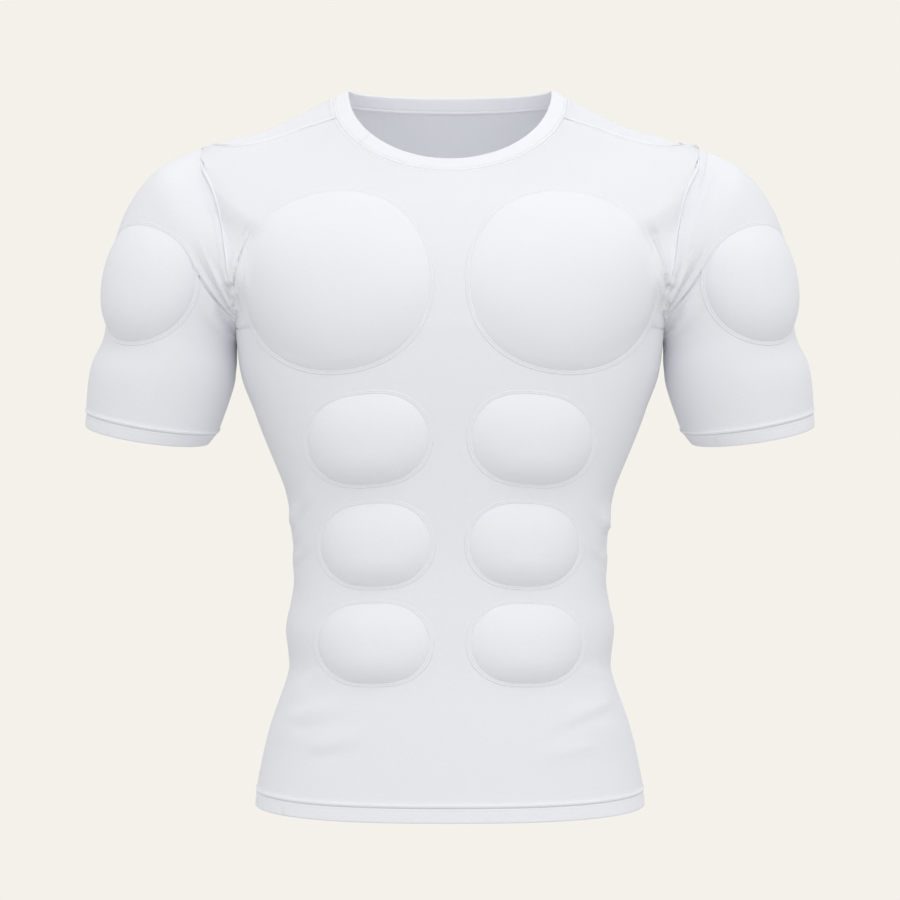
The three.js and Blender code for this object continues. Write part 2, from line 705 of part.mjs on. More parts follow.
const corners = [back[ROWS.back.body + ROWS.back.armhole], back[ROWS.back.body]];
corners.forEach((row, k) => {
  const i = k * ROWS.front.armhole;
  partFromSleeve(row, sleeve[0][i], sleeve[1][i]);
});
sleeve[0] = armhole.map((row, i) => partFromSleeve(row, sleeve[0][i], sleeve[1][i]));
for (const face of ["front", "back"]) {
  const half = face === "front" ? front : back;
  const sewn = half.filter((row, j) => j <= ROWS[face].body || j >= ROWS[face].body + ROWS[face].armhole);
  pullBack(sewn.map((row) => row.at(-1)), sewn.map((row) => row.at(-2)));
  pullBack(half[0], half[1]);
  pullBack(half.at(-1), half.at(-2));
}
pullBack(sleeve.at(-1), sleeve.at(-2));

const frontPanel = wholePanel(front, "front");
add("front", wall(frontPanel, CLOTH, "front"), cloth);
add("back", wall(wholePanel(back, "back"), CLOTH, "back"), cloth);
addPair("sleeve", wall(sleeve, CLOTH, "tube"), cloth);

// Neckband, hem band and cuffs: doubled strips sewn round the openings
function fromSeam(seam, edge, gap = SEAM_GAP) {
  return seam.map((p, i) => p.clone().add(edge[i].clone().sub(p).setLength(gap)));
}

const neckTurns = seamTurns(NECK);
const neckSeam = ringAt(bodyRing(NECK), neckTurns);
const neckEdge = ringAt({ ...COLLAR, ...CLIMB.neck }, neckTurns);
add("neckband", band(fromSeam(neckSeam, neckEdge), neckEdge, BAND), ribbing);

const hemTurns = seamTurns(0);
const hemSeam = ringAt(bodyRing(0), hemTurns);
const hemEdge = ringAt({ ...HEM_EDGE, ...CLIMB.body }, hemTurns);
add("hem_band", band(hemEdge, fromSeam(hemSeam, hemEdge), BAND), ribbing);

// The left sleeve's rings run the other way round than the body's.
const cuffSeam = sleeveRing(SLEEVE.at(-1), turns).reverse();
const cuffEdge = sleeveRing(CUFF, turns).reverse();
addPair("cuff", band(cuffEdge, fromSeam(cuffSeam, cuffEdge, 2 * SEAM_GAP), BAND), ribbing);

// Pads on the chest and abdomen, then on the upper arms
for (const pad of FRONT_PADS) {
  const middle = findOnBody(pad.x, pad.z, [ARMPIT - 1, 0.6]);
  const find = (x, z, near) => findOnBody(pad.x + x, pad.z + z, near ?? middle);
  addPair(pad.name, cutToCloth(padBlock(bodySurface, pad, find), frontPanel, "front"), padding);
}

const armMiddle = [ARM_PAD.along, ARM_PAD.turn];
const findOnArm = (x, z, near) => findOnSleeve(sleeveAt, armView, x, z, near ?? armMiddle);
addPair(ARM_PAD.name, cutToCloth(padBlock(sleeveAt, ARM_PAD, findOnArm), sleeve, "tube"), padding);

export default shirt;
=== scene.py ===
# A padded compression shirt in its worn shape: stretch-knit panels, bound edges and sewn-on foam pads.
# Metres, +Z up, the front faces -Y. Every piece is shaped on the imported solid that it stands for.
import math

import bmesh
import bpy
import numpy as np
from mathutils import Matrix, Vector
from mathutils.bvhtree import BVHTree


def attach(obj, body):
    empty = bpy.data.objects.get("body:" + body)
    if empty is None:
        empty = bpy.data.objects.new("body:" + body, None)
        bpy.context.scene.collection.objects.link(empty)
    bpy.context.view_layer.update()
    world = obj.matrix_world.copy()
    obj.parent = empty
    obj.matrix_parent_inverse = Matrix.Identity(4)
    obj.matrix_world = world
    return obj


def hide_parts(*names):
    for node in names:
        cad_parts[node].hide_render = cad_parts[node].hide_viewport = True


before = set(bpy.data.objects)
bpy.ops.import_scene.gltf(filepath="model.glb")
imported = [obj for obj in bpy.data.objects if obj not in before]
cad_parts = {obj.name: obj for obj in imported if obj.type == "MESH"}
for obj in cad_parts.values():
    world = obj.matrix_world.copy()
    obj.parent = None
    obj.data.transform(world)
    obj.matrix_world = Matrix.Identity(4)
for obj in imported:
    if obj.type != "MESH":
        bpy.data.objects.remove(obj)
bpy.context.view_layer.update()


# Front panel: one width of stretch knit from the hem to the neck seam and the forward shoulder seams.
# The solid's own rows and columns are read back, smoothed and made finer, then creased where
# the cloth is drawn to the armpits, gathers at the waist and lies loose over the hips.
WALL = 0.0016  # how thick the solids' cloth is, by which their rims are told from their sides
KNIT_THICKNESS = 0.001
SEAM_LAP = 0.0008  # how far cloths are carried on into a seam
SIDES = (("left", 1), ("right", -1))  # the wearer's sides and their signs of X


def outer_side(node, bend=180, wall=None):
    """Points and triangles of a solid's outer side: its largest patch with no edge sharper than bend, in
    degrees, and without the rims of a wall of that thickness."""
    mesh = bmesh.new()
    mesh.from_mesh(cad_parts[node].data)
    bmesh.ops.remove_doubles(mesh, verts=mesh.verts, dist=1e-6)
    seen = set()
    if wall:
        rounding = 2e-5
        seen = {
            face for face in mesh.faces
            if any(abs(edge.calc_length() - wall) < rounding for edge in face.edges)
        }
    patches = []
    for first in mesh.faces:
        if first in seen:
            continue
        seen.add(first)
        patch = [first]
        for face in patch:
            for edge in face.edges:
                if edge.calc_face_angle(math.pi) > math.radians(bend):
                    continue
                for other in edge.link_faces:
                    if other not in seen:
                        seen.add(other)
                        patch.append(other)
        patches.append(patch)
    outer = max(patches, key=lambda faces: sum(face.calc_area() for face in faces))
    mesh.verts.index_update()
    points = np.array([vert.co for vert in mesh.verts])
    triangles = [[vert.index for vert in face.verts] for face in outer]
    mesh.free()
    return points, triangles


def corners_over(triangles):
    """For each edge, the third corners of the triangles on it."""
    over = {}
    for triangle in triangles:
        for i, corner in enumerate(triangle):
            edge = tuple(sorted((triangle[i - 1], triangle[i - 2])))
            over.setdefault(edge, []).append(corner)
    return over


def rims(over):
    """The open edges of a patch, as closed loops of points."""
    near = {}
    for (a, b), corners in over.items():
        if len(corners) == 1:
            near.setdefault(a, []).append(b)
            near.setdefault(b, []).append(a)
    loops = []
    while near:
        loop = [next(iter(near))]
        while True:
            onward = [p for p in near.pop(loop[-1]) if p in near]
            if not onward:
                break
            loop.append(onward[0])
        loops.append(loop)
    return loops


def next_row(over, row, first, closed):
    """The next row of a grid of cells that are each split in two triangles, from that row's first point."""
    above = [first]
    onward = row[1:] + (row[:1] if closed else [])
    for a, after in zip(row, onward):
        edge = tuple(sorted((a, above[-1])))
        corner = next(c for c in over[edge] if c == after or tuple(sorted((c, after))) in over)
        if corner == after:
            edge = tuple(sorted((above[-1], after)))
            corner = next(c for c in over[edge] if c != a)
        above.append(corner)
    return above[: len(row)]


def panel_rows(node, start):
    """A panel's outer points in rows from the hem up. start is the side of X where they start."""
    points, triangles = outer_side(node, wall=WALL)
    over = corners_over(triangles)
    loop = rims(over)[0]
    first, last = (max(loop, key=lambda p: side * points[p][0] - points[p][2]) for side in (start, -start))
    at = loop.index(first)
    loop = loop[at:] + loop[:at]
    if loop.index(last) > len(loop) / 2:
        loop = loop[:1] + loop[:0:-1]
    rows = [loop[: loop.index(last) + 1]]
    side = loop[:0:-1]
    count = len({p for triangle in triangles for p in triangle}) // len(rows[0])
    for first in side[: count - 1]:
        rows.append(next_row(over, rows[-1], first, False))
    return points[np.array(rows)]


def tube_rows(node, side):
    """A sleeve's outer points in closed rows from the cuff up, each from the outermost point."""
    points, triangles = outer_side(node, wall=WALL)
    over = corners_over(triangles)
    row = max(rims(over), key=lambda loop: abs(points[loop][:, 0]).mean())
    at = max(range(len(row)), key=lambda i: side * points[row[i]][0])
    row = row[at:] + row[:at]
    middle = points[row].mean(axis=0)
    turn = np.cross(points[row[0]] - middle, points[row[1]] - middle)[2]
    if turn < 0:
        row = row[:1] + row[:0:-1]
    rows = [row]
    level = points[row[1]] - points[row[-1]]
    heading = np.cross(np.cross(level, (0, 0, 1)), level)
    count = len({p for triangle in triangles for p in triangle}) // len(row)
    for _ in range(count - 1):
        below = set(rows[-1]) | set(rows[-2] if len(rows) > 1 else [])
        near = sorted({p for edge in over if row[0] in edge for p in edge} - below)
        ways = [points[p] - points[row[0]] for p in near]
        best = max(range(len(near)), key=lambda k: ways[k] @ heading / np.linalg.norm(ways[k]))
        heading = ways[best]
        row = next_row(over, row, near[best], True)
        rows.append(row)
    return points[np.array(rows)]


def curve_weights(count, at, closed):
    """Weights of count control values in a cubic curve at the given steps along it."""
    cell = np.floor(at).astype(int)
    if not closed:
        cell = np.minimum(cell, count - 2)
    f = at - cell
    shares = ((1 - f) ** 3, 3 * f**3 - 6 * f**2 + 4, -3 * f**3 + 3 * f**2 + 3 * f + 1, f**3)
    weights = np.zeros((len(at), count))
    for k, share in zip((-1, 0, 1, 2), shares):
        for row, (i, w) in enumerate(zip(cell + k, share / 6)):
            if closed or 0 <= i < count:
                weights[row, i % count] += w
            else:
                end, inner = (0, 1) if i < 0 else (count - 1, count - 2)
                weights[row, end] += 2 * w
                weights[row, inner] -= w
    return weights


def smooth_weights(count, at, closed=False):
    """Weights that carry count knots to a smooth curve through all of them."""
    knots = curve_weights(count, np.arange(count, dtype=float), closed)
    return curve_weights(count, at, closed) @ np.linalg.inv(knots)


def steps(spans, near=(0, 0.03, 0.06, 0.1, 0.15, 0.21, 0.28, 0.36, 0.46, 0.6, 0.8)):
    """Fine steps along a row of cells. spans gives (last cell, steps in a cell), and near the closer steps
    in the first and last cells."""
    at, start = [], 0
    for end, each in spans:
        at.append(start + np.arange((end - start) * each) / each)
        start = end
    at = np.concatenate(at)
    near = np.array(near)
    if not len(near):
        return at
    return np.concatenate([near, at[(at > 0.99) & (at < end - 0.9)], end - near[::-1]])


def ways_out(grid, closed=False):
    """The way out at each point of a grid of rows that run anticlockwise round the wearer."""
    up = np.gradient(grid, axis=0)
    if closed:
        along = np.roll(grid, -1, axis=1) - np.roll(grid, 1, axis=1)
    else:
        along = np.gradient(grid, axis=1)
    out = np.cross(along, up)
    return out / np.maximum(np.linalg.norm(out, axis=-1, keepdims=True), 1e-12)


def lengths(grid, axis):
    """How far each point lies along its row or column, from the start."""
    run = np.linalg.norm(np.diff(grid, axis=axis), axis=-1).cumsum(axis=axis)
    return np.insert(run, 0, 0, axis=axis)


def eased(grid, at, row, wide, rounds=90):
    """The grid with the kink across one of its rows worked out along its ways out. wide counts rows."""
    step = 0.9
    share = np.exp(-(((at - row) / wide) ** 2))[1:-1, None, None]
    for _ in range(rounds):
        bend = (grid[:-2] + grid[2:]) / 2 - grid[1:-1]
        out = ways_out(grid)[1:-1]
        grid[1:-1] += share * out * (bend * out).sum(axis=-1, keepdims=True) * step
    return grid


def sewn(grid, far, rows=True, columns=True):
    """The grid with its ends carried a little further, so that cloths meet in their seam."""
    for turned, wanted in ((grid, rows), (grid.swapaxes(0, 1), columns)):
        if wanted:
            for end, inner in ((0, 2), (-1, -3)):
                way = turned[end] - turned[inner]
                turned[end] += way / np.linalg.norm(way, axis=-1, keepdims=True) * far
    return grid


def sewn_onto(grid, lines, reach, share=1.0):
    """A grid whose last row is laid onto the nearest of some lines, its cloth following within a reach.
    Points that lie too far from every line stay."""
    too_far, fade = 0.009, 0.003
    starts = np.concatenate([line[:-1] for line in lines])
    runs = np.concatenate([np.diff(line, axis=0) for line in lines])
    away = grid[-1][:, None] - starts
    along = np.clip((away * runs).sum(axis=-1) / np.maximum((runs**2).sum(axis=-1), 1e-12), 0, 1)
    away -= along[..., None] * runs
    best = np.linalg.norm(away, axis=-1).argmin(axis=1)
    move = -away[np.arange(len(best)), best]
    near = np.clip((too_far - np.linalg.norm(move, axis=1)) / fade, 0, 1)
    run = lengths(grid[::-1], 0)[::-1]
    return grid + np.exp(-((run / reach) ** 2))[..., None] * move * (near * share)[:, None]


def seam_slid(grid, seam, slide, side):
    """The grid with its points near a seam slid over the surface, by the seam's own slides. Only the
    armhole's front slides, from the armpit up."""
    beside_chest, behind_arm, armpit = 0.14, 0.012, -0.2
    blend, reach, least_move = 0.006, 0.022, 2e-5
    flat = grid.reshape(-1, 3).copy()
    in_front = (side * flat[:, 0] > beside_chest) & (flat[:, 1] < behind_arm) & (flat[:, 2] > armpit)
    near = np.flatnonzero(in_front)
    off = np.linalg.norm(flat[near, None] - seam[None], axis=-1)
    least = off.min(axis=1)
    pull = np.exp((least[:, None] ** 2 - off**2) / (2 * blend**2))
    pull /= pull.sum(axis=1, keepdims=True)
    share = np.exp(-((least / reach) ** 2)) * np.clip((behind_arm - flat[near, 1]) / 0.015, 0, 1)
    share *= np.clip((flat[near, 2] - armpit) / 0.02, 0, 1)
    for i, move in zip(near, (pull @ slide) * share[:, None]):
        if np.abs(move).max() > least_move:
            flat[i] = body_tree.find_nearest(Vector(flat[i] + move))[0]
    return flat.reshape(grid.shape)


def creases(grid, table):
    """The lift of a table's folds at each point, in metres, laid out in front view in millimetres. Each
    fold rises over its first part, widens and fades out towards its open end."""
    rise_share = 0.15
    x, z = grid[..., 0] * 1000, grid[..., 2] * 1000
    lift = np.zeros(x.shape)
    for x0, z0, x1, z1, bow, width, height in table:
        run_x, run_z = x1 - x0, z1 - z0
        length = math.hypot(run_x, run_z)
        along = ((x - x0) * run_x + (z - z0) * run_z) / length**2
        share = np.clip(along, 0, 1)
        off = ((x - x0) * run_z - (z - z0) * run_x) / length - 4 * bow * share * (1 - share)
        past = (along - share) * length
        wide = width * (0.55 + 0.45 * share)
        ramp = np.minimum(share / rise_share, 1)
        fade = ramp**2 * (3 - 2 * ramp) * (1 - share**2) * np.exp(-((past / width) ** 2))
        lift += height * fade * np.exp(-((off / wide) ** 2))
    return lift / 1000


def seam_edge(distance, ridge, tuck, wide=1.0):
    """The lift of cloth that is tucked in at a seam and stands in a ridge beside it, in metres."""
    mm, tuck_wide = distance * 1000, 0.7
    stands = ridge * np.exp(-(((mm - tuck_wide - wide) / wide) ** 2))
    return (stands - tuck * np.exp(-((mm / tuck_wide) ** 2))) / 1000


def mesh_piece(name, points, faces, uv, material):
    """A new mesh piece of the shirt, with its places in millimetres along the cloth as its UV."""
    mesh = bpy.data.meshes.new(name)
    mesh.from_pydata([tuple(p) for p in points], [], [tuple(int(i) for i in f) for f in faces])
    layer = mesh.uv_layers.new(name="cloth")
    corners = np.zeros(len(mesh.loops), dtype=int)
    mesh.loops.foreach_get("vertex_index", corners)
    layer.data.foreach_set("uv", (np.asarray(uv)[corners] * 1000).ravel())
    mesh.polygons.foreach_set("use_smooth", [True] * len(mesh.polygons))
    mesh.materials.append(material)
    piece = bpy.data.objects.new(name, mesh)
    bpy.context.scene.collection.objects.link(piece)
    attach(piece, "root")
    return piece


def grid_faces(rows, columns, closed=False, joined=False):
    """The faces of a grid of points, anticlockwise seen from outside. closed takes each row round to its
    start, and joined takes the last row on to the first."""
    counts = rows if joined else rows - 1, columns if closed else columns - 1
    j, i = np.meshgrid(np.arange(counts[0]), np.arange(counts[1]), indexing="ij")
    above, onward = (j + 1) % rows, (i + 1) % columns
    corners = [j * columns + i, j * columns + onward, above * columns + onward, above * columns + i]
    return np.stack(corners, axis=-1).reshape(-1, 4)


def thicken(piece):
    """Makes a sheet a thin shell of knit, inward from its outer side."""
    shell = piece.modifiers.new("thickness", "SOLIDIFY")
    shell.thickness = KNIT_THICKNESS
    shell.offset = -1
    shell.use_even_offset = False


def knit(name, colour):
    """Matt stretch knit: fine wales and courses, a soft uneven surface and a trace of fuzz. wale is a
    column's width in millimetres; a wave texture repeats every 0.314 / Scale."""
    wale, relief = 0.9, 0.5
    material = bpy.data.materials.new(name)
    material.use_nodes = True
    nodes, links = material.node_tree.nodes, material.node_tree.links
    shader = nodes["Principled BSDF"]
    shader.inputs["Roughness"].default_value = 0.86
    shader.inputs["Specular IOR Level"].default_value = 0.25
    shader.inputs["Sheen Weight"].default_value = 0.12
    shader.inputs["Sheen Roughness"].default_value = 0.5
    place = nodes.new("ShaderNodeUVMap")
    place.uv_map = "cloth"
    wales = nodes.new("ShaderNodeTexWave")
    wales.bands_direction = "X"
    wales.inputs["Scale"].default_value = 0.314 / wale
    wales.inputs["Distortion"].default_value = 0.6
    courses = nodes.new("ShaderNodeTexWave")
    courses.bands_direction = "Y"
    courses.inputs["Scale"].default_value = 0.38 / wale
    courses.inputs["Distortion"].default_value = 0.6
    soft = nodes.new("ShaderNodeTexNoise")
    soft.inputs["Scale"].default_value = 0.22
    soft.inputs["Detail"].default_value = 4
    slub = nodes.new("ShaderNodeTexNoise")
    slub.inputs["Scale"].default_value = 1.0
    slub.inputs["Detail"].default_value = 2
    stretch = nodes.new("ShaderNodeMapping")
    stretch.inputs["Scale"].default_value = (0.4, 0.22, 1)
    weave = nodes.new("ShaderNodeMath")
    weave.operation = "ADD"
    faint = nodes.new("ShaderNodeMath")
    faint.operation = "MULTIPLY"
    faint.inputs[1].default_value = 0.3
    fibre = nodes.new("ShaderNodeBump")
    fibre.inputs["Strength"].default_value = relief
    fibre.inputs["Distance"].default_value = 0.0002
    swell = nodes.new("ShaderNodeBump")
    swell.inputs["Strength"].default_value = 0.35
    swell.inputs["Distance"].default_value = 0.0006
    tint = nodes.new("ShaderNodeMixRGB")
    tint.inputs["Color1"].default_value = (*[c * 0.985 for c in colour], 1)
    tint.inputs["Color2"].default_value = (*colour, 1)
    for texture in (wales, courses, soft):
        links.new(place.outputs["UV"], texture.inputs["Vector"])
    links.new(place.outputs["UV"], stretch.inputs["Vector"])
    links.new(stretch.outputs["Vector"], slub.inputs["Vector"])
    links.new(wales.outputs["Fac"], weave.inputs[0])
    links.new(courses.outputs["Fac"], faint.inputs[0])
    links.new(faint.outputs["Value"], weave.inputs[1])
    links.new(weave.outputs["Value"], fibre.inputs["Height"])
    links.new(soft.outputs["Fac"], swell.inputs["Height"])
    links.new(fibre.outputs["Normal"], swell.inputs["Normal"])
    links.new(swell.outputs["Normal"], shader.inputs["Normal"])
    links.new(slub.outputs["Fac"], tint.inputs["Fac"])
    links.new(tint.outputs["Color"], shader.inputs["Base Color"])
    return material


def on_cloth(grid, out, closed=False):
    """A cloth's outer side, ready for pads and stitches to be laid on."""
    rows, columns = grid.shape[:2]
    quads = grid_faces(rows, columns, closed)
    triangles = np.concatenate([quads[:, [0, 1, 2]], quads[:, [0, 2, 3]]])
    points = grid.reshape(-1, 3)
    tree = BVHTree.FromPolygons(points.tolist(), triangles.tolist())
    return {"points": points, "out": out.reshape(-1, 3), "triangles": triangles, "tree": tree}


WHITE = (0.825, 0.835, 0.872)
knit_cloth = knit("knit_cloth", WHITE)

# The four cloths' smooth forms come first, because the armhole's seam is slid over front and sleeve alike.
SEAM_LINE = (
    # z on the solids' seam and how far the real one lies towards the middle, in millimetres
    (-203, 0), (-192, -1), (-178, -3.2), (-160, -5.2), (-134, -5), (-116, -0.7),
    (-103, 4), (-92, 6.4), (-81, 6.8), (-71, 4.8), (-63, 2), (-57, 0),
)


def form(rows, along, across, closed=False):
    """The smooth surface through a grid of points, at the given steps."""
    weights = smooth_weights(rows.shape[0], along), smooth_weights(rows.shape[1], across, closed)
    return np.einsum("ai,bj,ijk->abk", *weights, rows)


# The solids' rows at which each panel's armhole starts, at the armpit, and ends, at the shoulder seam.
FRONT_ARMPIT, FRONT_SHOULDER = 22, 35
BACK_ARMPIT, BACK_SHOULDER = 14, 27
front_along = steps([(6, 4), (12, 5), (22, 4), (25, 6), (34, 10), (40, 6)])
back_along = steps([(14, 5), (32, 6)])
front_grid = form(panel_rows("front", -1), front_along, steps([(3, 13), (19, 5), (22, 13)]))
front_grid = eased(front_grid, front_along, FRONT_SHOULDER, 1.4)
front_grid = eased(front_grid, front_along, FRONT_ARMPIT, 1.0, 50)
back_grid = form(panel_rows("back", 1), back_along, steps([(2, 12), (14, 6), (16, 12)]))
back_grid = eased(back_grid, back_along, BACK_SHOULDER, 0.9)
back_grid = eased(back_grid, back_along, BACK_ARMPIT, 0.8, 50)
SLEEVE_SPANS = (
    # name, side, spans round the sleeve, finest where its folds and pad are
    ("left", 1, [(12, 5), (22, 13), (26, 5)]),
    ("right", -1, [(4, 5), (14, 13), (26, 5)]),
)
sleeve_grids = {}
for name, side, spans in SLEEVE_SPANS:
    rows = tube_rows("sleeve_" + name, side)
    sleeve_grids[name] = form(rows, steps([(6, 5), (12, 12)]), steps(spans, near=()), True)
surfaces = [(front_grid, False), (back_grid, False), *((grid, True) for grid in sleeve_grids.values())]
points, faces = [], []
for grid, closed in surfaces:
    faces.append(grid_faces(*grid.shape[:2], closed) + sum(len(p) for p in points))
    points.append(grid.reshape(-1, 3))
body_tree = BVHTree.FromPolygons(np.concatenate(points).tolist(), np.concatenate(faces).tolist())
front_out = ways_out(front_grid)
slid_front = front_grid
for name, side in SIDES:
    on_seam = (front_along >= FRONT_ARMPIT - 0.5) & (front_along <= FRONT_SHOULDER)
    seam = front_grid[on_seam, -1 if side > 0 else 0]
    out = front_out[on_seam, -2 if side > 0 else 1]
    padded = np.pad(out, ((6, 6), (0, 0)), "edge")
    out = np.stack([np.convolve(axis, np.ones(13) / 13, "valid") for axis in padded.T], axis=-1)
    z, far = np.array(SEAM_LINE).T / 1000
    slide = np.array([1.0, 0, 0]) - out[:, :1] * out
    slide *= (-side * np.interp(seam[:, 2], z, far) / np.maximum(slide[:, 0], 0.45))[:, None]
    slid_front = seam_slid(slid_front, seam, slide, side)
    sleeve_grids[name] = seam_slid(sleeve_grids[name], seam, slide, side)
front_grid = slid_front

front_out = ways_out(front_grid)
from_right = lengths(front_grid, 1)
from_hem = lengths(front_grid, 0)
front_side = np.minimum(from_right, from_right[:, -1:] - from_right)
ARMPIT_CREASES = (
    # x, z of the gathered end, x, z of the open end, bow, width, height, as on the wearer's left
    (200, -200, 174, -99, 13, 2.3, 1.9),
    (200, -197, 181, -118, 9, 1.1, -2.3),
    (198, -201, 172, -106, 10, 2.1, 1.7),
    (197, -203, 190, -158, 4, 1.7, 1.2),
    (202, -190, 196, -128, 5, 1.6, 0.96),
    (199, -202, 196, -165, 4, 0.94, -1.3),
)
SHOULDER_LINE = (
    # x, z of the gathered end, x, z of the open end, bow, width, height
    (-238, -41, -160, -12, 0, 13, 4.6),
    (238, -41, 160, -12, 0, 13, 4.6),
)
FRONT_CREASES = (
    # x, z of the gathered end, x, z of the open end, bow, width, height
    *SHOULDER_LINE,
    *ARMPIT_CREASES,
    *(
        (-x0, z0 - 1, -x1 - 1, z1 - 3, -bow, wide, high * 1.15)
        for x0, z0, x1, z1, bow, wide, high in ARMPIT_CREASES
    ),
    (-195, -196, -195, -290, 0, 11, 5.2),
    (195, -196, 195, -284, 0, 11, 5.0),
    (-154, -395, -126, -356, 3, 4.2, 2.1),
    (-153, -403, -130, -370, 3, 3.0, -1.7),
    (-150, -432, -126, -408, 2, 3.4, 1.9),
    (-150, -438, -128, -416, 2, 3.0, -1.2),
    (154, -400, 131, -375, -2, 4.2, 2.2),
    (154, -408, 128, -390, -2, 3.0, -1.8),
    (150, -430, 122, -409, -2, 3.6, 1.7),
    (150, -437, 124, -417, -2, 3.0, -1.2),
    (-158, -576, -96, -556, 2, 7.0, 1.7),
    (-150, -586, -84, -570, 2, 6.0, -1.4),
    (-136, -602, -74, -586, 1, 7.0, 1.6),
    (-134, -612, -80, -602, 1, 6.0, -1.2),
    (-146, -552, -114, -526, 0, 6.0, 1.2),
    (156, -560, 92, -584, 2, 7.0, 1.6),
    (152, -572, 86, -594, 2, 6.0, -1.3),
    (140, -598, 72, -608, -1, 7.0, 1.4),
    (148, -540, 116, -528, 0, 6.0, 1.0),
)
lift = creases(front_grid, FRONT_CREASES)
lift += seam_edge(front_side, 0.5, 0.5) + seam_edge(from_hem[-1:] - from_hem, 0.3, 0.7)
lift += seam_edge(from_hem, 0.6, 0.15, 1.6)
front_grid = sewn(front_grid + front_out * lift[..., None], SEAM_LAP)
front_out = ways_out(front_grid)
uv = np.stack([from_right - from_right[:, -1:] / 2, from_hem], axis=-1).reshape(-1, 2)
faces = grid_faces(*front_grid.shape[:2])
front_cloth = mesh_piece("front_cloth", front_grid.reshape(-1, 3), faces, uv, knit_cloth)
thicken(front_cloth)
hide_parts("front")
front_on = on_cloth(front_grid, front_out)


# Back panel: plain knit, closed to the front at the sides and at the seams that lie forward of the
# shoulders. It is not in view, so its folds follow the same pulls as the front's: armpits and waist.
back_out = ways_out(back_grid)
from_left = lengths(back_grid, 1)
from_hem = lengths(back_grid, 0)
back_side = np.minimum(from_left, from_left[:, -1:] - from_left)
BACK_CREASES = (
    # x, z of the gathered end, x, z of the open end, bow, width, height
    *SHOULDER_LINE,
    (-195, -196, -195, -290, 0, 11, 5.2),
    (195, -196, 195, -284, 0, 11, 5.0),
    (-154, -395, -118, -362, 3, 3.6, 2.0),
    (-150, -432, -112, -414, 2, 3.4, 1.6),
    (154, -400, 116, -380, -2, 3.4, 2.0),
    (150, -430, 108, -412, -2, 3.6, 1.6),
    (-204, -206, -170, -128, 8, 3.2, 1.2),
    (-203, -212, -150, -168, 8, 4.0, 1.2),
    (204, -206, 172, -130, -8, 3.2, 1.2),
    (203, -212, 152, -172, -8, 4.0, 1.2),
)
lift = creases(back_grid, BACK_CREASES)
lift += seam_edge(back_side, 0.5, 0.5) + seam_edge(from_hem[-1:] - from_hem, 0.8, 0.3)
lift += seam_edge(from_hem, 0.6, 0.15, 1.6)
back_grid = back_grid + back_out * lift[..., None]
NECK_LAP = 0.0018
at_shoulder = np.clip((back_along - BACK_SHOULDER + 1) / 0.8, 0, 1)
for way, front_column in ((1, 0), (-1, -1)):
    turned = sewn_onto(back_grid.swapaxes(0, 1)[::way], (front_grid[:, front_column],), 0.008, at_shoulder)
    back_grid = turned[::way].swapaxes(0, 1)
back_grid = sewn(sewn(back_grid, SEAM_LAP, rows=False), NECK_LAP, columns=False)
back_out = ways_out(back_grid)
uv = np.stack([from_left - from_left[:, -1:] / 2, from_hem], axis=-1).reshape(-1, 2)
faces = grid_faces(*back_grid.shape[:2])
back_cloth = mesh_piece("back_cloth", back_grid.reshape(-1, 3), faces, uv, knit_cloth)
thicken(back_cloth)
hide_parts("back")


# Sleeves: each one a tube of the same knit from the armhole to the cuff, drawn in folds from the armpit
# over the pad's edge, with a slight puff over the cuff's seam.
SLEEVE_CREASES = (
    # x, z of the gathered end, x, z of the open end, bow, width, height, as on the wearer's left
    (198, -203, 252, -124, 5, 2.7, 2.3),
    (198, -205, 250, -132, 5.5, 1.2, -1.9),
    (198, -201, 238, -120, 2, 2.4, 2),
    (198, -202, 243, -128, 3, 1.2, -2),
    (200, -197, 226, -146, 0.5, 1.9, 1.7),
    (200, -196, 220, -148, 0, 1, -1.9),
    (201, -194, 215, -146, -0.5, 1.7, 1.3),
    (201, -195, 210, -154, 0, 0.94, -1.4),
    (198, -204, 233, -174, 1.5, 2.6, 1.9),
    (198, -204, 231, -169, 1.5, 1.1, -1.7),
    (199, -209, 230, -190, 2, 3.6, -0.8),
    (199, -218, 226, -206, 1, 3.0, 0.6),
    (203, -208, 203, -262, 0, 7, 1.0),
)
sleeves = {}
for name, side in SIDES:
    grid = sleeve_grids[name]
    out = ways_out(grid, True)
    from_cuff = lengths(grid, 0)
    high_side = 1.0 if side > 0 else 1.12
    table = [(side * x0, z0 - 1 + side, side * x1, z1 + 2 * side, side * bow, wide, high * high_side)
             for x0, z0, x1, z1, bow, wide, high in SLEEVE_CREASES]
    lift = creases(grid, table + list(SHOULDER_LINE))
    lift += seam_edge(from_cuff[-1:] - from_cuff, 0.0, 0.6) + seam_edge(from_cuff, 0.6, 0.15, 1.6)
    front_edge, back_edge = front_grid[:, -1 if side > 0 else 0], back_grid[:, 0 if side > 0 else -1]
    grid = sewn_onto(grid + out * lift[..., None], (front_edge, back_edge), 0.009)
    grid = sewn(grid, SEAM_LAP, columns=False)
    out = ways_out(grid, True)
    from_top = lengths(grid, 1)
    uv = np.stack([from_top, from_cuff], axis=-1).reshape(-1, 2)
    faces = grid_faces(*grid.shape[:2], True)
    piece = mesh_piece(f"sleeve_{name}_cloth", grid.reshape(-1, 3), faces, uv, knit_cloth)
    thicken(piece)
    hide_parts("sleeve_" + name)
    sleeves[name] = {"grid": grid, "out": out, "on": on_cloth(grid, out, True)}


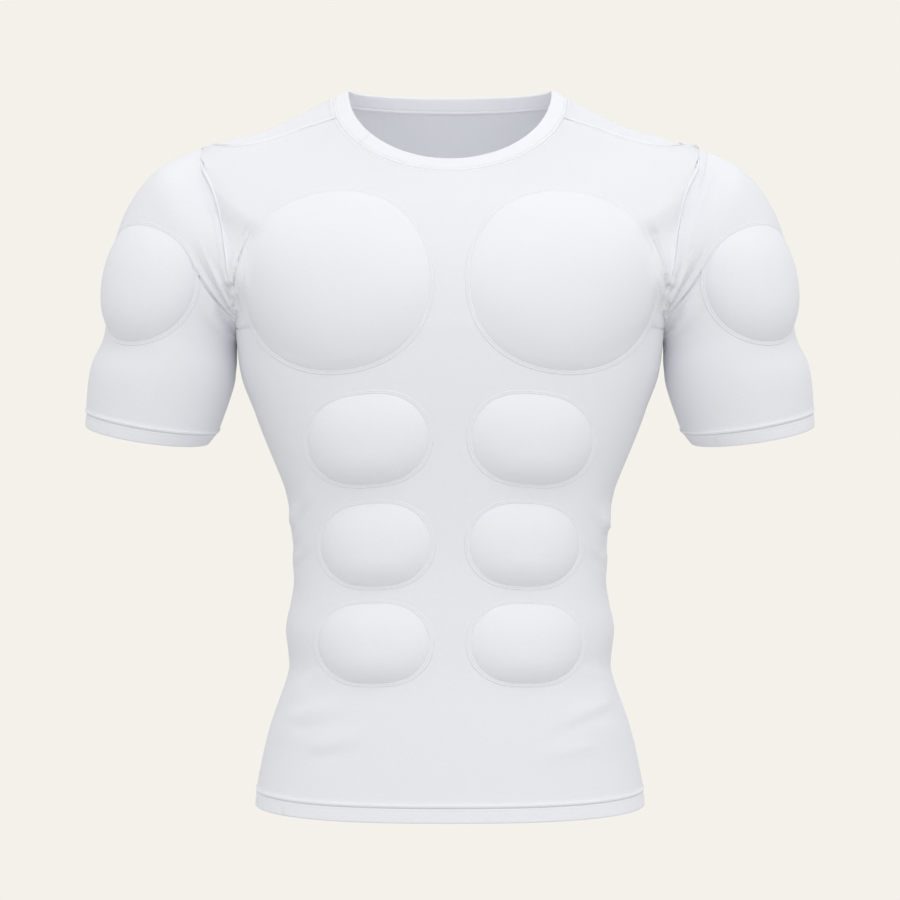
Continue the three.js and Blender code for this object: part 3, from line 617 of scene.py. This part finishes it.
# Neckband, hem and cuffs: the same knit doubled over, closed in a ring and sewn to the cloth's edge.
# Each is a rounded strip between the solid's two edges, tucked in at the seam.
def band_edges(node, bend):
    """The seam edge and the free edge of a band's outer side, point for point, anticlockwise from above."""
    points, triangles = outer_side(node, bend)
    edges = []
    for loop in rims(corners_over(triangles)):
        ring = points[loop]
        middle = ring.mean(axis=0)
        if np.cross(ring - middle, np.roll(ring, -1, axis=0) - middle)[:, 2].sum() < 0:
            ring = ring[::-1]
        edges.append(ring)
    low, high = sorted(edges, key=lambda ring: ring[:, 2].mean())
    shift = np.linalg.norm(high - low[0], axis=1).argmin()
    return low, np.roll(high, -shift, axis=0)


def band_section(width, thick, channel, tuck):
    """A doubled strip's section: how far up its width and how deep each point lies, in metres. It runs
    up the outer side, over the fold and down the inner side to the seam allowance."""
    up = np.array([0.0, 0.25, 0.6, 1.1, 1.7, 2.3, 2.6, 2.9, 3.2, 3.8, 4.6, 6.0]) / 1000
    up = np.concatenate([up, np.linspace(up[-1], width - thick / 2, 7)[1:]])
    mm = up * 1000
    depth = tuck * np.exp(-((mm / 0.5) ** 2)) + channel * np.exp(-(((mm - 2.8) / 0.35) ** 2))
    turn = np.linspace(0, math.pi, 9)[1:-1]
    over_up = width - thick / 2 + np.sin(turn) * thick / 2
    over_depth = thick / 2 - np.cos(turn) * thick / 2
    inner = np.linspace(width * 1000 - thick * 500, 3.0, 6)
    inner = np.concatenate([inner, [2.2, 1.6, 1.2, 0.8, 0.2, -1.0, -2.0, -2.5, -2.6]])
    inner_depth = thick * 1000 + 0.3 - 0.5 * np.exp(-(((inner - 1.2) / 0.4) ** 2))
    inner_depth[0] = thick * 1000
    inner_depth[-2:] = (thick * 1000 - 0.05, thick * 1000 - 0.7)
    ups = np.concatenate([up, over_up, inner / 1000])
    depths = np.concatenate([depth / 1000, over_depth, inner_depth / 1000])
    return ups, depths


def band_piece(name, node, bend, free_up, channel, reach=1.0, each=6):
    """A band between a solid's two edges. free_up says whether its free edge is the upper one, channel how
    deep its stitches draw in, and each how many steps a cell of the solid gets."""
    thick, proud = 0.0024, 0.0004
    low, high = band_edges(node, bend)
    at = np.arange(len(low) * each) / each
    weights = smooth_weights(len(low), at, True)
    low, high = weights @ low, weights @ high
    seam, free = (low, high) if free_up else (high, low)
    rise = free - seam
    width = np.linalg.norm(rise, axis=1).mean()
    up = rise / np.linalg.norm(rise, axis=1, keepdims=True)
    along = np.roll(seam, -1, axis=0) - np.roll(seam, 1, axis=0)
    out = np.cross(along, up if free_up else -up)
    out /= np.linalg.norm(out, axis=1, keepdims=True)
    ups, depths = band_section(width, thick, channel, 0.7 if free_up else 0.4)
    share = reach * np.linalg.norm(rise, axis=1) / width
    ring = seam[None] + up[None] * (ups[:, None] * share)[..., None] - out[None] * depths[:, None, None]
    ring = ring + out[None] * proud
    around = lengths(np.concatenate([seam, seam[:1]])[None], 1)[0, :-1]
    section = np.hypot(np.diff(ups, prepend=ups[0]), np.diff(depths, prepend=depths[0])).cumsum()
    uv = np.stack(np.broadcast_arrays(around[None], section[:, None]), axis=-1)
    count, columns = ring.shape[:2]
    quads = grid_faces(count, columns, True, True)
    if not free_up:
        quads = quads[:, ::-1]
    piece = mesh_piece(name, ring.reshape(-1, 3), quads, uv.reshape(-1, 2), bound_edge)
    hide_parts(node)
    return {"seam": seam, "up": up, "out": out}


bound_edge = knit("bound_edge", tuple(c * 1.04 for c in WHITE))
neckband = band_piece("neckband_rib", "neckband", 44, True, 0.35)
band_piece("hem_turned_up", "hem_band", 30, False, 0.1)
for name in ("left", "right"):
    band_piece(f"cuff_{name}_turned_up", "cuff_" + name, 30, False, 0.1, 1.12, each=8)


# Pads: moulded foam under its own knit cover, sewn to the shirt round a flat rim with two lines of
# stitches. Each one takes its outline from its solid and lies on the cloth's finished surface.
def pad_piece(name, node, on, drum, rise):
    """A domed pad on a cloth. drum is the radius that it wraps round, or None for one seen straight on,
    and rise is how high it stands."""
    around, roundness, sag = 150, 2.6, 0.34
    points, triangles = outer_side(node, 50)
    loop = points[max(rims(corners_over(triangles)), key=len)]
    centre = points[sorted({p for triangle in triangles for p in triangle})].mean(axis=0)
    up, facing = np.array([0.0, 0.0, 1.0]), np.array([0.0, -1.0, 0.0])
    if drum:
        place, facing, _, _ = on["tree"].find_nearest(Vector(centre))
        facing = np.array(facing)
        up = up - facing * facing[2]
        up /= np.linalg.norm(up)
        centre = np.array(place) - facing * drum
    right = np.cross(up, facing)

    across, along, deep = ((loop - centre) @ way for way in (right, up, facing))
    if drum:
        across = drum * np.arctan2(across, deep)
    edge = np.stack([across, along], axis=-1)
    heart = (edge.max(axis=0) + edge.min(axis=0)) / 2
    edge = edge - heart
    orders = np.arange(6)

    def waves(turn):
        return np.concatenate([np.cos(turn[:, None] * orders), np.sin(turn[:, None] * orders[1:])], axis=1)

    fit = np.linalg.lstsq(waves(np.arctan2(edge[:, 1], edge[:, 0])), np.hypot(*edge.T), rcond=None)[0]
    theta = np.arange(around) * 2 * math.pi / around
    reach = waves(theta) @ fit
    size = reach.mean()

    # The rim's profile: how far in from the edge and how high above the cloth, in millimetres. It has
    # two soft rolls, each with a stitched hollow inside it.
    rim = np.array([
        (0.0, 0.02), (0.2, 0.25), (0.7, 0.55), (1.2, 0.6), (1.6, 0.45), (2.0, 0.3), (2.4, 0.5),
        (2.9, 0.75), (3.3, 0.7), (3.8, 0.4), (4.1, 0.3), (4.4, 0.5),
    ]) / 1000
    groove = 0.0041
    inner = size - np.sin(np.linspace(math.pi / 2, 0, 34)[:-1]) * (size - groove - 0.0008)
    q = (size - inner) / (size - groove)
    dome = 0.0003 + rise * (1 - q**roundness) ** 0.9
    inset = np.concatenate([rim[:, 0], inner])
    hang = np.concatenate([rim[:, 0] * 0, q])[:, None] * -np.sin(theta)
    lift = np.concatenate([rim[:, 1], dome])[:, None] * (1 + sag * hang)

    flat = 1 - inset / size
    xy = np.stack([np.cos(theta) * reach, np.sin(theta) * reach], axis=-1)
    spots = np.concatenate([(xy[None] * flat[:, None, None]).reshape(-1, 2), [[0.0, 0.0]]])

    # Each spot is dropped onto the cloth from outside, and takes the cloth's way out there.
    base, out = np.zeros((2, len(spots), 3))
    for i in range(len(spots) - 1, -1, -1):
        x, z = spots[i] + heart
        way = facing * math.cos(x / drum) + right * math.sin(x / drum) if drum else facing
        start = centre + up * z + (way * (drum + 0.06) if drum else right * x + way * 0.2)
        place, _, face, _ = on["tree"].ray_cast(Vector(start), Vector(-way))
        if face is None:
            place, _, face, _ = on["tree"].find_nearest(Vector(start - way * far))
        far = (start - np.array(place)) @ way
        corners = on["triangles"][face]
        pa, pb, pc = on["points"][corners]
        n = np.cross(pb - pa, pc - pa)
        wc = np.cross(pb - pa, np.array(place) - pa) @ n / (n @ n)
        wb = np.cross(np.array(place) - pa, pc - pa) @ n / (n @ n)
        base[i] = place
        out[i] = np.array([1 - wb - wc, wb, wc]) @ on["out"][corners]

    # Away from the rim the pad's base is one smooth curve, so that no fold under it prints through.
    powers = [(i, k) for i in range(5) for k in range(5 - i)]
    terms = np.stack([(spots[:, 0] / size) ** i * (spots[:, 1] / size) ** k for i, k in powers], axis=-1)
    blend = np.clip((np.append(np.repeat(inset, around), size) * 1000 - 5) / 12, 0, 1)[:, None]
    blend = blend * blend * (3 - 2 * blend)
    base, out = (
        field + blend * (terms @ np.linalg.lstsq(terms, field, rcond=None)[0] - field)
        for field in (base, out)
    )
    out /= np.linalg.norm(out, axis=-1, keepdims=True)
    lift = np.append(lift, 0.0003 + rise)
    top = base + out * lift[:, None]

    # The faces: rim and dome with a cap, then the skirt and the flat underside in fewer rings.
    count = len(inset)
    under = [0, *range(7, count, 3), count - 1]
    kept = np.concatenate([np.arange(around) + j * around for j in under[1:]] + [[count * around]])
    points = np.concatenate([top, base[kept] + out[kept] * 0.0001])
    quads = grid_faces(count, around, True)
    ring = np.arange(around)
    onward = (ring + 1) % around
    last = (count - 1) * around
    cap = np.stack([last + ring, last + onward, np.full(around, count * around)], axis=-1)
    first = count * around + 1
    skirt = np.stack([onward, ring, first + ring, first + onward], axis=-1)
    rows = len(under) - 1
    lining = first + grid_faces(rows, around, True)[:, ::-1]
    last = first + (rows - 1) * around
    base_cap = np.stack([last + onward, last + ring, np.full(around, first + rows * around)], axis=-1)
    faces = [*quads.tolist(), *cap.tolist(), *skirt.tolist(), *lining.tolist(), *base_cap.tolist()]
    piece = mesh_piece(name, points, faces, np.concatenate([spots, spots[kept]]), pad_cover)
    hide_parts(node)
    shape = (count, around, 3)
    return {"top": top[:-1].reshape(shape), "out": out[:-1].reshape(shape)}


pad_cover = knit("pad_cover", tuple(c * 1.01 for c in WHITE))
ARM_RADIUS = 0.062
PADS = (
    # name, rise and the radius that it wraps round, in metres
    ("chest_pad", 0.0135, None),
    ("abdomen_pad_upper", 0.0115, None),
    ("abdomen_pad_middle", 0.011, None),
    ("abdomen_pad_lower", 0.0105, None),
    ("arm_pad", 0.0125, ARM_RADIUS),
)
pads = []
for name, rise, drum in PADS:
    for side in ("left", "right"):
        node = f"{name}_{side}"
        pads.append(pad_piece(node + "_cover", node, sleeves[side]["on"] if drum else front_on, drum, rise))


# Stitches and seam ridges: short raised spun threads in two rows round each pad and over the hem's and
# cuffs' seams and one on the neckband, and the rolls of knit that the seams' folded allowances push up,
# made in a knit painted lighter than the cloth as a painted highlight.
def stitch_row(points, outs, pitch, size, closed=False):
    """Stitches pitch apart along a line of points. size is a stitch's length and width, in metres."""
    points, outs = np.asarray(points), np.asarray(outs)
    if closed:
        points, outs = np.concatenate([points, points[:1]]), np.concatenate([outs, outs[:1]])
    run = np.insert(np.linalg.norm(np.diff(points, axis=0), axis=1).cumsum(), 0, 0)
    count = max(int(run[-1] / pitch), 2)
    at = (np.arange(count) + 0.5) * run[-1] / count

    def spot(where, field):
        return np.stack([np.interp(where, run, field[:, k]) for k in range(3)], axis=-1)

    middle, out = spot(at, points), spot(at, outs)
    way = spot(at + pitch / 4, points) - spot(at - pitch / 4, points)
    way /= np.linalg.norm(way, axis=1, keepdims=True)
    side = np.cross(out, way)
    long, wide = size[0] / 2, size[1] / 2
    corners = [way * long, side * wide, -way * long, -side * wide, out * wide * 0.9, -out * wide]
    verts = middle[:, None] + np.stack(corners, axis=1)
    faces = np.array([(0, 1, 4), (1, 2, 4), (2, 3, 4), (3, 0, 4), (1, 0, 5), (2, 1, 5), (3, 2, 5), (0, 3, 5)])
    return verts.reshape(-1, 3), (faces[None] + 6 * np.arange(count)[:, None, None]).reshape(-1, 3)


def rows_piece(name, rows, material):
    """One piece from rows of stitches or ridges, given as points and faces."""
    points, faces, start = [], [], 0
    for verts, triangles in rows:
        points.append(verts)
        faces.append(triangles + start)
        start += len(verts)
    points = np.concatenate(points)
    piece = mesh_piece(name, points, np.concatenate(faces), points[:, [0, 2]], material)


def welt(points, outs, wide, high, closed=False):
    """A half-sunk rounded ridge along a line of points, tapered over the first nine at open ends."""
    sides = 10
    points, outs = np.asarray(points), np.asarray(outs)
    way = np.gradient(points, axis=0)
    size = np.ones(len(points))
    if closed:
        way = np.roll(points, -1, axis=0) - np.roll(points, 1, axis=0)
    else:
        ends = np.minimum(np.arange(len(points)), np.arange(len(points))[::-1])
        size = np.clip((ends + 0.3) / 9, 0, 1)
    side = np.cross(outs, way)
    side *= (size / np.linalg.norm(side, axis=1))[:, None]
    turn = np.arange(sides) * 2 * math.pi / sides
    up = np.sin(turn)[:, None] * high
    ring = outs[:, None] * up * size[:, None, None] + side[:, None] * np.cos(turn)[:, None] * wide
    faces = grid_faces(len(points), sides, True, closed)
    return (points[:, None] + ring).reshape(-1, 3), faces[:, ::-1]


def inset_line(grid, out, far):
    """The line at a distance from a grid's first row, and its ways out."""
    runs = lengths(grid, 0).T
    return [
        np.array([
            [np.interp(far, run, column[:, k]) for k in range(3)]
            for run, column in zip(runs, field.swapaxes(0, 1))
        ])
        for field in (grid, out)
    ]


def knotted(name, colour):
    """Spun thread: slightly glossier than the knit, with a twist along it."""
    material = bpy.data.materials.new(name)
    material.use_nodes = True
    nodes, links = material.node_tree.nodes, material.node_tree.links
    shader = nodes["Principled BSDF"]
    shader.inputs["Roughness"].default_value = 0.6
    shader.inputs["Specular IOR Level"].default_value = 0.3
    place = nodes.new("ShaderNodeTexCoord")
    twist = nodes.new("ShaderNodeTexWave")
    twist.bands_direction = "DIAGONAL"
    twist.inputs["Scale"].default_value = 900
    tint = nodes.new("ShaderNodeMixRGB")
    tint.inputs["Color1"].default_value = (*[c * 0.93 for c in colour], 1)
    tint.inputs["Color2"].default_value = (*colour, 1)
    bump = nodes.new("ShaderNodeBump")
    bump.inputs["Strength"].default_value = 0.5
    bump.inputs["Distance"].default_value = 0.0001
    links.new(place.outputs["Object"], twist.inputs["Vector"])
    links.new(twist.outputs["Fac"], tint.inputs["Fac"])
    links.new(tint.outputs["Color"], shader.inputs["Base Color"])
    links.new(twist.outputs["Fac"], bump.inputs["Height"])
    links.new(bump.outputs["Normal"], shader.inputs["Normal"])
    return material


thread = knotted("thread", tuple(min(c * 1.03, 0.92) for c in WHITE))
pad_rows = []
for pad in pads:
    for ring in (5, 10):  # the rings of the rim's two hollows
        pad_rows.append(stitch_row(pad["top"][ring], pad["out"][ring], 0.0028, (0.0021, 0.0005), True))
rows_piece("pad_stitches", pad_rows, thread)

EDGE_PITCH, EDGE_STITCH = 0.0026, (0.0019, 0.0005)
edge_rows, ridge_rows = [], []
line = neckband["seam"] + neckband["up"] * 0.0028 + neckband["out"] * 0.0002
edge_rows.append(stitch_row(line, neckband["out"], EDGE_PITCH, EDGE_STITCH, True))
hemmed = [(front_grid, front_out, False), (back_grid, back_out, False)]
hemmed += [(sleeve["grid"], sleeve["out"], True) for sleeve in sleeves.values()]
for grid, out, closed in hemmed:
    line, ways = inset_line(grid, out, 0.0022)
    ridge_rows.append(welt(line, ways, 0.0017, 0.0006, closed))
    for far in (0.0014, 0.0031):
        line, ways = inset_line(grid, out, far)
        edge_rows.append(stitch_row(line + ways * 0.0004, ways, EDGE_PITCH, EDGE_STITCH, closed))
rows_piece("edge_stitches", edge_rows, thread)

# The ridges' knit is the cloth's white made 6% lighter: a painted highlight, so that the seams' rolls read as
# bright lines.
ridge_knit_painted_highlight = knit("ridge_knit_painted_highlight", tuple(c * 1.06 for c in WHITE))
on_shoulder = front_along > FRONT_SHOULDER + 0.2
for edge, inner in ((0, 4), (-1, -5)):
    line, ways = front_grid[on_shoulder, edge], front_out[on_shoulder, inner]
    ridge_rows.append(welt(line + ways * 0.0008, ways, 0.0014, 0.0011))
above_armpit = (front_grid[:, 0, 2] > -0.17) & (front_along <= FRONT_SHOULDER)
for column in (3, -4):
    line, ways = front_grid[above_armpit, column], front_out[above_armpit, column]
    ridge_rows.append(welt(line, ways, 0.0011, 0.0009))
rows_piece("seam_ridges", ridge_rows, ridge_knit_painted_highlight)


# Camera and light: a long lens level with the chest and a pale sweep behind. A broad light above and in
# front, a little to the right, models the pads, and the dim room below leaves their undersides in shade.
camera = bpy.data.objects.new("camera", bpy.data.cameras.new("camera"))
camera.data.lens = 120
camera.data.sensor_width = 36
camera.location = (0, -2.86, -0.326)
camera.rotation_euler = (math.radians(90), 0, 0)
bpy.context.scene.collection.objects.link(camera)
bpy.context.scene.camera = camera
bpy.context.scene.view_settings.view_transform = "Standard"

PAPER = (0.905, 0.880, 0.823)
BOWL = (
    # radius and height, in metres
    (0.0001, -1.2), (1.0, -1.2), (2.6, -1.2), (3.6, -1.05), (4.4, -0.6), (4.9, 0.2), (5.1, 1.4), (5.2, 4.0),
)
bowl = bmesh.new()
profile = [bowl.verts.new((radius, 0, z)) for radius, z in BOWL]
profile += [bowl.edges.new(pair) for pair in zip(profile, profile[1:])]
bmesh.ops.spin(
    bowl, geom=profile, axis=(0, 0, 1), cent=(0, 0, 0), steps=48, angle=2 * math.pi, use_merge=True
)
bmesh.ops.recalc_face_normals(bowl, faces=bowl.faces)
bmesh.ops.reverse_faces(bowl, faces=bowl.faces)
for face in bowl.faces:
    face.smooth = True
sweep_mesh = bpy.data.meshes.new("floor_sweep")
bowl.to_mesh(sweep_mesh)
bowl.free()
paper = bpy.data.materials.new("studio_paper")
paper.use_nodes = True
paper_nodes = paper.node_tree.nodes
paper_nodes.remove(paper_nodes["Principled BSDF"])
glow = paper_nodes.new("ShaderNodeEmission")
glow.inputs["Color"].default_value = (*PAPER, 1)
paper.node_tree.links.new(glow.outputs["Emission"], paper_nodes["Material Output"].inputs["Surface"])
sweep_mesh.materials.append(paper)
sweep = bpy.data.objects.new("floor_sweep", sweep_mesh)
for hidden in ("visible_diffuse", "visible_glossy", "visible_transmission", "visible_shadow"):
    setattr(sweep, hidden, False)
bpy.context.scene.collection.objects.link(sweep)

world = bpy.data.worlds.new("studio")
bpy.context.scene.world = world
world.use_nodes = True
world_nodes, world_links = world.node_tree.nodes, world.node_tree.links
sky = world_nodes.new("ShaderNodeTexCoord")
height = world_nodes.new("ShaderNodeSeparateXYZ")
shade = world_nodes.new("ShaderNodeMapRange")
shade.inputs["From Min"].default_value = -1.0
shade.inputs["From Max"].default_value = 1.0
shade.inputs["To Min"].default_value = 0.49
shade.inputs["To Max"].default_value = 1.06
world_links.new(sky.outputs["Generated"], height.inputs["Vector"])
world_links.new(height.outputs["Z"], shade.inputs["Value"])
world_links.new(shade.outputs["Result"], world_nodes["Background"].inputs["Strength"])
world_nodes["Background"].inputs["Color"].default_value = (1.0, 1.0, 1.0, 1)


def softbox(name, place, aim, size, power):
    """A square area light aimed at a point."""
    data = bpy.data.lights.new(name, "AREA")
    data.size = size
    data.energy = power
    light = bpy.data.objects.new(name, data)
    light.location = place
    light.rotation_euler = (Vector(aim) - Vector(place)).to_track_quat("-Z", "Y").to_euler()
    light.visible_camera = False
    bpy.context.scene.collection.objects.link(light)


softbox("key_light", (0.5, -1.7, 2.3), (0, 0, -0.3), 1.6, 14)
softbox("front_fill", (0.1, -3.2, -0.5), (0, 0, -0.35), 2.0, 13.5)
softbox("rim_light_left", (-2.6, -0.6, 0.9), (0, 0, -0.3), 1.4, 0.5)
softbox("rim_light_right", (2.6, -0.6, 0.9), (0, 0, -0.3), 1.4, 1)
softbox("inside_fill", (0, -0.02, -0.26), (0, 0.08, 0.0), 0.14, 0.16)
